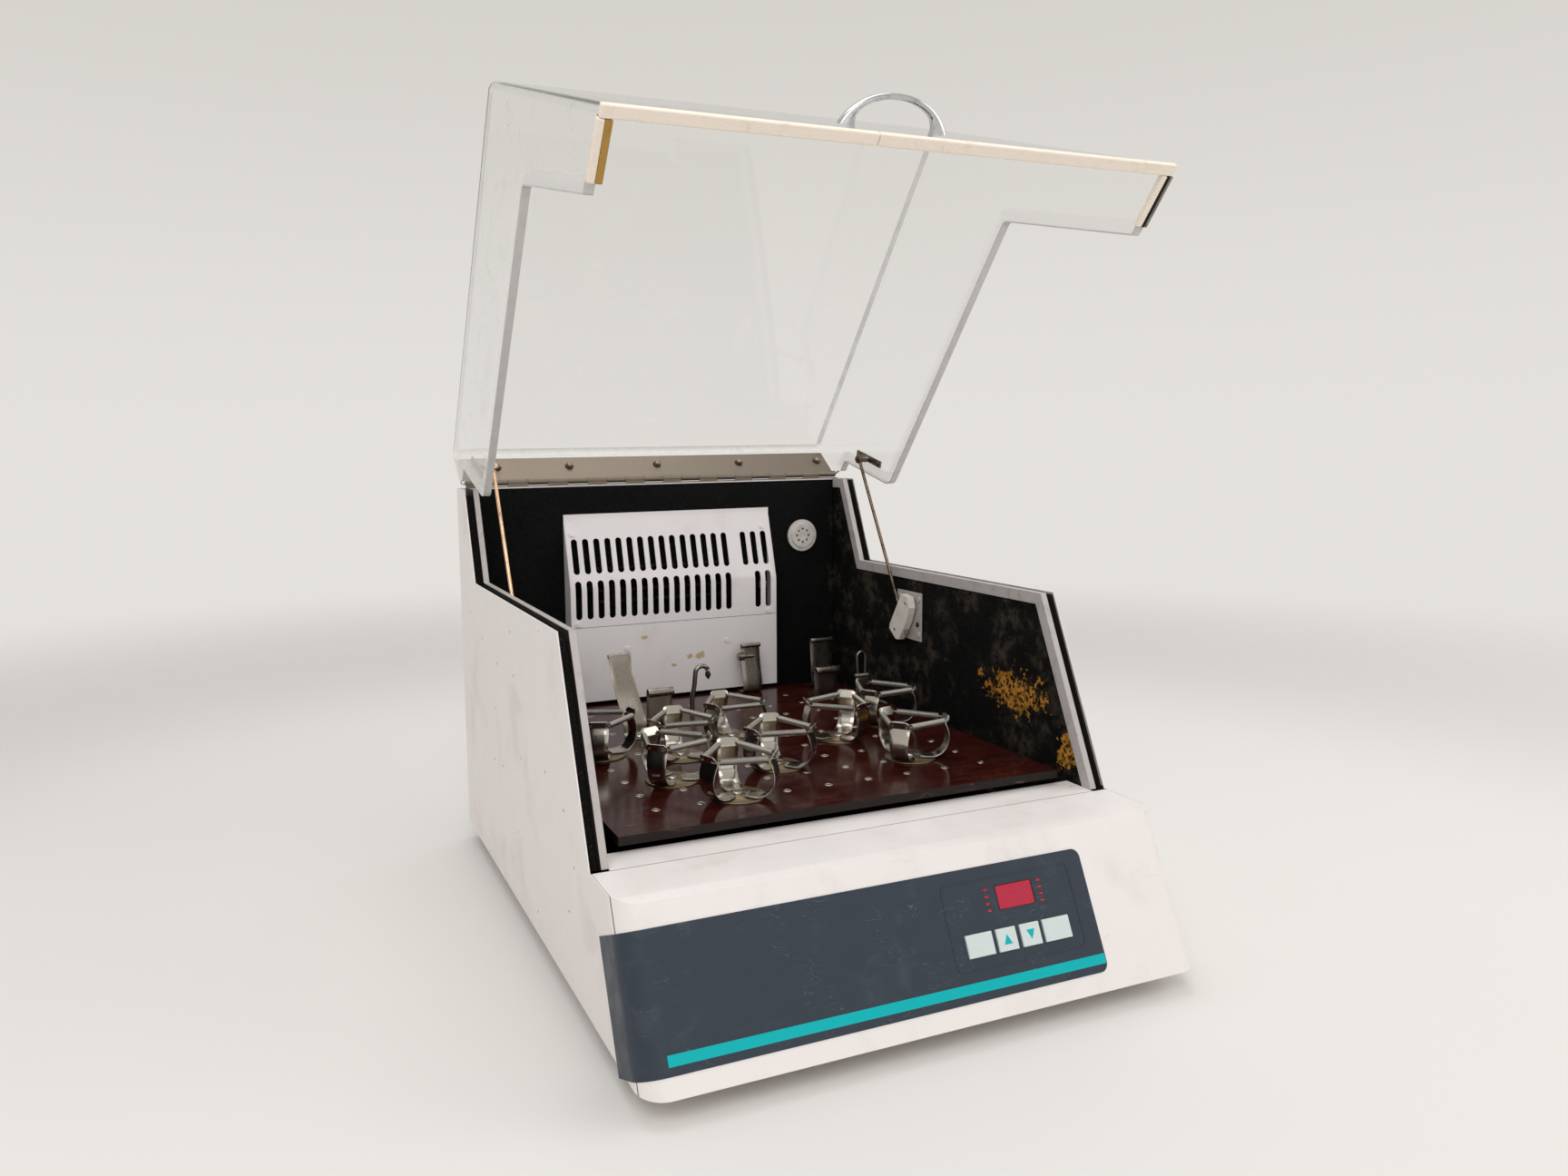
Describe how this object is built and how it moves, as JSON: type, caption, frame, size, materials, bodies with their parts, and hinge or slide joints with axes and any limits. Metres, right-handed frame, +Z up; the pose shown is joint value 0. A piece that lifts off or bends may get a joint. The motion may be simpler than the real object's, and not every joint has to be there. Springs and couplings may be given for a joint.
{
  "type": "incubated benchtop shaker",
  "caption": "Heated orbital shaker with a stepped cabinet, clear hinged lid on stays, and an orbiting platform carrying spring flask clamps.",
  "frame": {"origin": "on the floor, under the middle of the open part's bounding box", "axes": "+X to the right of someone facing the console, -Y towards them, +Z up"},
  "size_m": [0.5265, 0.7031, 0.8425],
  "materials": {
    "case_paint": "satin, slightly yellowed",
    "heater_paint": "satin",
    "overlay_film": "matt film",
    "display_red": "gloss window",
    "key_white": "satin",
    "circuit_green": "solder mask",
    "foam_black": "open foam, stained",
    "trim_alloy": "satin",
    "gasket_rubber": "matt",
    "element_steel": "oxidised",
    "motor_dark": "satin",
    "wheel_dark": "matt",
    "cap_white": "satin",
    "steel": "brushed",
    "lid_clear": "clear, gloss",
    "channel_clear": "clear, scuffed",
    "seal_cream": "matt, aged",
    "handle_alloy": "satin",
    "board_brown": "gloss laminate",
    "tray_dark": "black anodised",
    "crank_steel": "turned",
    "pulley_alloy": "turned",
    "inlet_black": "satin",
    "switch_red": "gloss",
    "foot_rubber": "matt",
    "clamp_steel": "polished, worn"
  },
  "bodies": {
    "cabinet": {"base_pan": "case_paint", "left_side_panel": "case_paint", "right_side_panel": "case_paint", "rear_panel": "case_paint", "console_cover": "case_paint", "control_overlay": "overlay_film", "display_window": "display_red", "circuit_boards": "circuit_green", "left_liner": "foam_black", "right_liner": "foam_black", "rear_liner": "foam_black", "chamber_floor": "foam_black", "edge_trims": "trim_alloy", "groove_gaskets": "gasket_rubber", "heater_cover": "heater_paint", "heater_element": "element_steel", "blower_motor": "motor_dark", "vent_port_cap": "cap_white", "temperature_probe": "element_steel", "hinge_cabinet_leaf": "steel", "hinge_pin": "steel", "stay_wall_brackets": "steel", "shaft_bearings": "steel", "drive_belt": "gasket_rubber", "drive_motor": "motor_dark", "power_inlet": "inlet_black", "feet": "foot_rubber"},
    "lid": {"hinge_lid_leaf": "steel", "lid_shell": "lid_clear", "lid_edge_channels": "channel_clear", "lid_seal": "seal_cream", "lid_handle": "handle_alloy", "stay_lid_brackets": "steel"},
    "left_guide": {"left_stay_guide": "steel"},
    "right_guide": {"right_stay_guide": "steel"},
    "left_rod": {"left_stay_rod": "steel"},
    "right_rod": {"right_stay_rod": "steel"},
    "drive_crank": {"main_crank": "crank_steel", "drive_pulley": "pulley_alloy"},
    "left_idler": {"idler_crank_left": "crank_steel"},
    "right_idler": {"idler_crank_right": "crank_steel"},
    "motor_drive": {"motor_pulley": "pulley_alloy"},
    "platform": {"platform_board": "board_brown", "platform_tray": "tray_dark", "tall_clamps": "steel", "flask_clamp_1": "clamp_steel", "flask_clamp_2": "clamp_steel", "flask_clamp_3": "clamp_steel", "flask_clamp_4": "clamp_steel", "flask_clamp_5": "clamp_steel", "flask_clamp_6": "clamp_steel", "flask_clamp_7": "clamp_steel", "flask_clamp_8": "clamp_steel", "flask_clamp_9": "clamp_steel"},
    "blower": {"blower_wheel": "wheel_dark"},
    "start": {"start_key": "key_white"},
    "up": {"up_key": "key_white"},
    "down": {"down_key": "key_white"},
    "select": {"select_key": "key_white"},
    "switch": {"power_switch": "switch_red"}
  },
  "joints": [
    {"name": "lid_hinge", "type": "hinge", "parent": "cabinet", "child": "lid", "pos_m": [0, 0.29841, 0.444], "axis": [1, 0, 0], "range_deg": [-6, 52]},
    {"name": "left_stay_swivel", "type": "hinge", "parent": "cabinet", "child": "left_guide", "pos_m": [-0.239, 0.10041, 0.271], "axis": [1, 0, 0], "range_deg": [-19.57, 2.7]},
    {"name": "left_stay_slide", "type": "slide", "parent": "left_guide", "child": "left_rod", "axis": [0, -0.4791, -0.8777], "range_m": [-0.00656, 0.05306]},
    {"name": "right_stay_swivel", "type": "hinge", "parent": "cabinet", "child": "right_guide", "pos_m": [0.239, 0.10041, 0.271], "axis": [1, 0, 0], "range_deg": [-19.57, 2.7]},
    {"name": "right_stay_slide", "type": "slide", "parent": "right_guide", "child": "right_rod", "axis": [0, -0.4791, -0.8777], "range_m": [-0.00656, 0.05306]},
    {"name": "drive_spin", "type": "hinge", "parent": "cabinet", "child": "drive_crank", "pos_m": [0, 0.02161, 0.06], "axis": [0, 0, 1], "continuous": true},
    {"name": "platform_turn", "type": "hinge", "parent": "drive_crank", "child": "platform", "pos_m": [0, 0.03111, 0.122], "axis": [0, 0, 1], "continuous": true},
    {"name": "left_idler_spin", "type": "hinge", "parent": "cabinet", "child": "left_idler", "pos_m": [-0.12, 0.13161, 0.066], "axis": [0, 0, 1], "continuous": true},
    {"name": "right_idler_spin", "type": "hinge", "parent": "cabinet", "child": "right_idler", "pos_m": [0.12, 0.13161, 0.066], "axis": [0, 0, 1], "continuous": true},
    {"name": "motor_spin", "type": "hinge", "parent": "cabinet", "child": "motor_drive", "pos_m": [0, -0.10839, 0.05], "axis": [0, 0, 1], "continuous": true},
    {"name": "blower_spin", "type": "hinge", "parent": "cabinet", "child": "blower", "pos_m": [-0.0255, 0.27441, 0.221], "axis": [0, 1, 0], "continuous": true},
    {"name": "start_press", "type": "slide", "parent": "cabinet", "child": "start", "axis": [0, 0.9084, -0.4181], "range_m": [0, 0.0008], "stiffness_N_per_m": 400, "springref_m": -0.0006},
    {"name": "up_press", "type": "slide", "parent": "cabinet", "child": "up", "axis": [0, 0.9084, -0.4181], "range_m": [0, 0.0008], "stiffness_N_per_m": 400, "springref_m": -0.0006},
    {"name": "down_press", "type": "slide", "parent": "cabinet", "child": "down", "axis": [0, 0.9084, -0.4181], "range_m": [0, 0.0008], "stiffness_N_per_m": 400, "springref_m": -0.0006},
    {"name": "select_press", "type": "slide", "parent": "cabinet", "child": "select", "axis": [0, 0.9084, -0.4181], "range_m": [0, 0.0008], "stiffness_N_per_m": 400, "springref_m": -0.0006},
    {"name": "power_rocker", "type": "hinge", "parent": "cabinet", "child": "switch", "pos_m": [0.11, 0.30541, 0.08], "axis": [1, 0, 0], "range_deg": [0, 24]}
  ],
  "couplings": [
    {"joint": "left_stay_swivel", "follows": "lid_hinge", "ratio": -0.36667},
    {"joint": "left_stay_slide", "follows": "lid_hinge", "m_per_rad": 0.057914},
    {"joint": "right_stay_swivel", "follows": "lid_hinge", "ratio": -0.36667},
    {"joint": "right_stay_slide", "follows": "lid_hinge", "m_per_rad": 0.057914},
    {"joint": "platform_turn", "follows": "drive_spin", "ratio": -1},
    {"joint": "left_idler_spin", "follows": "drive_spin", "ratio": 1},
    {"joint": "right_idler_spin", "follows": "drive_spin", "ratio": 1},
    {"joint": "motor_spin", "follows": "drive_spin", "ratio": 3}
  ]
}
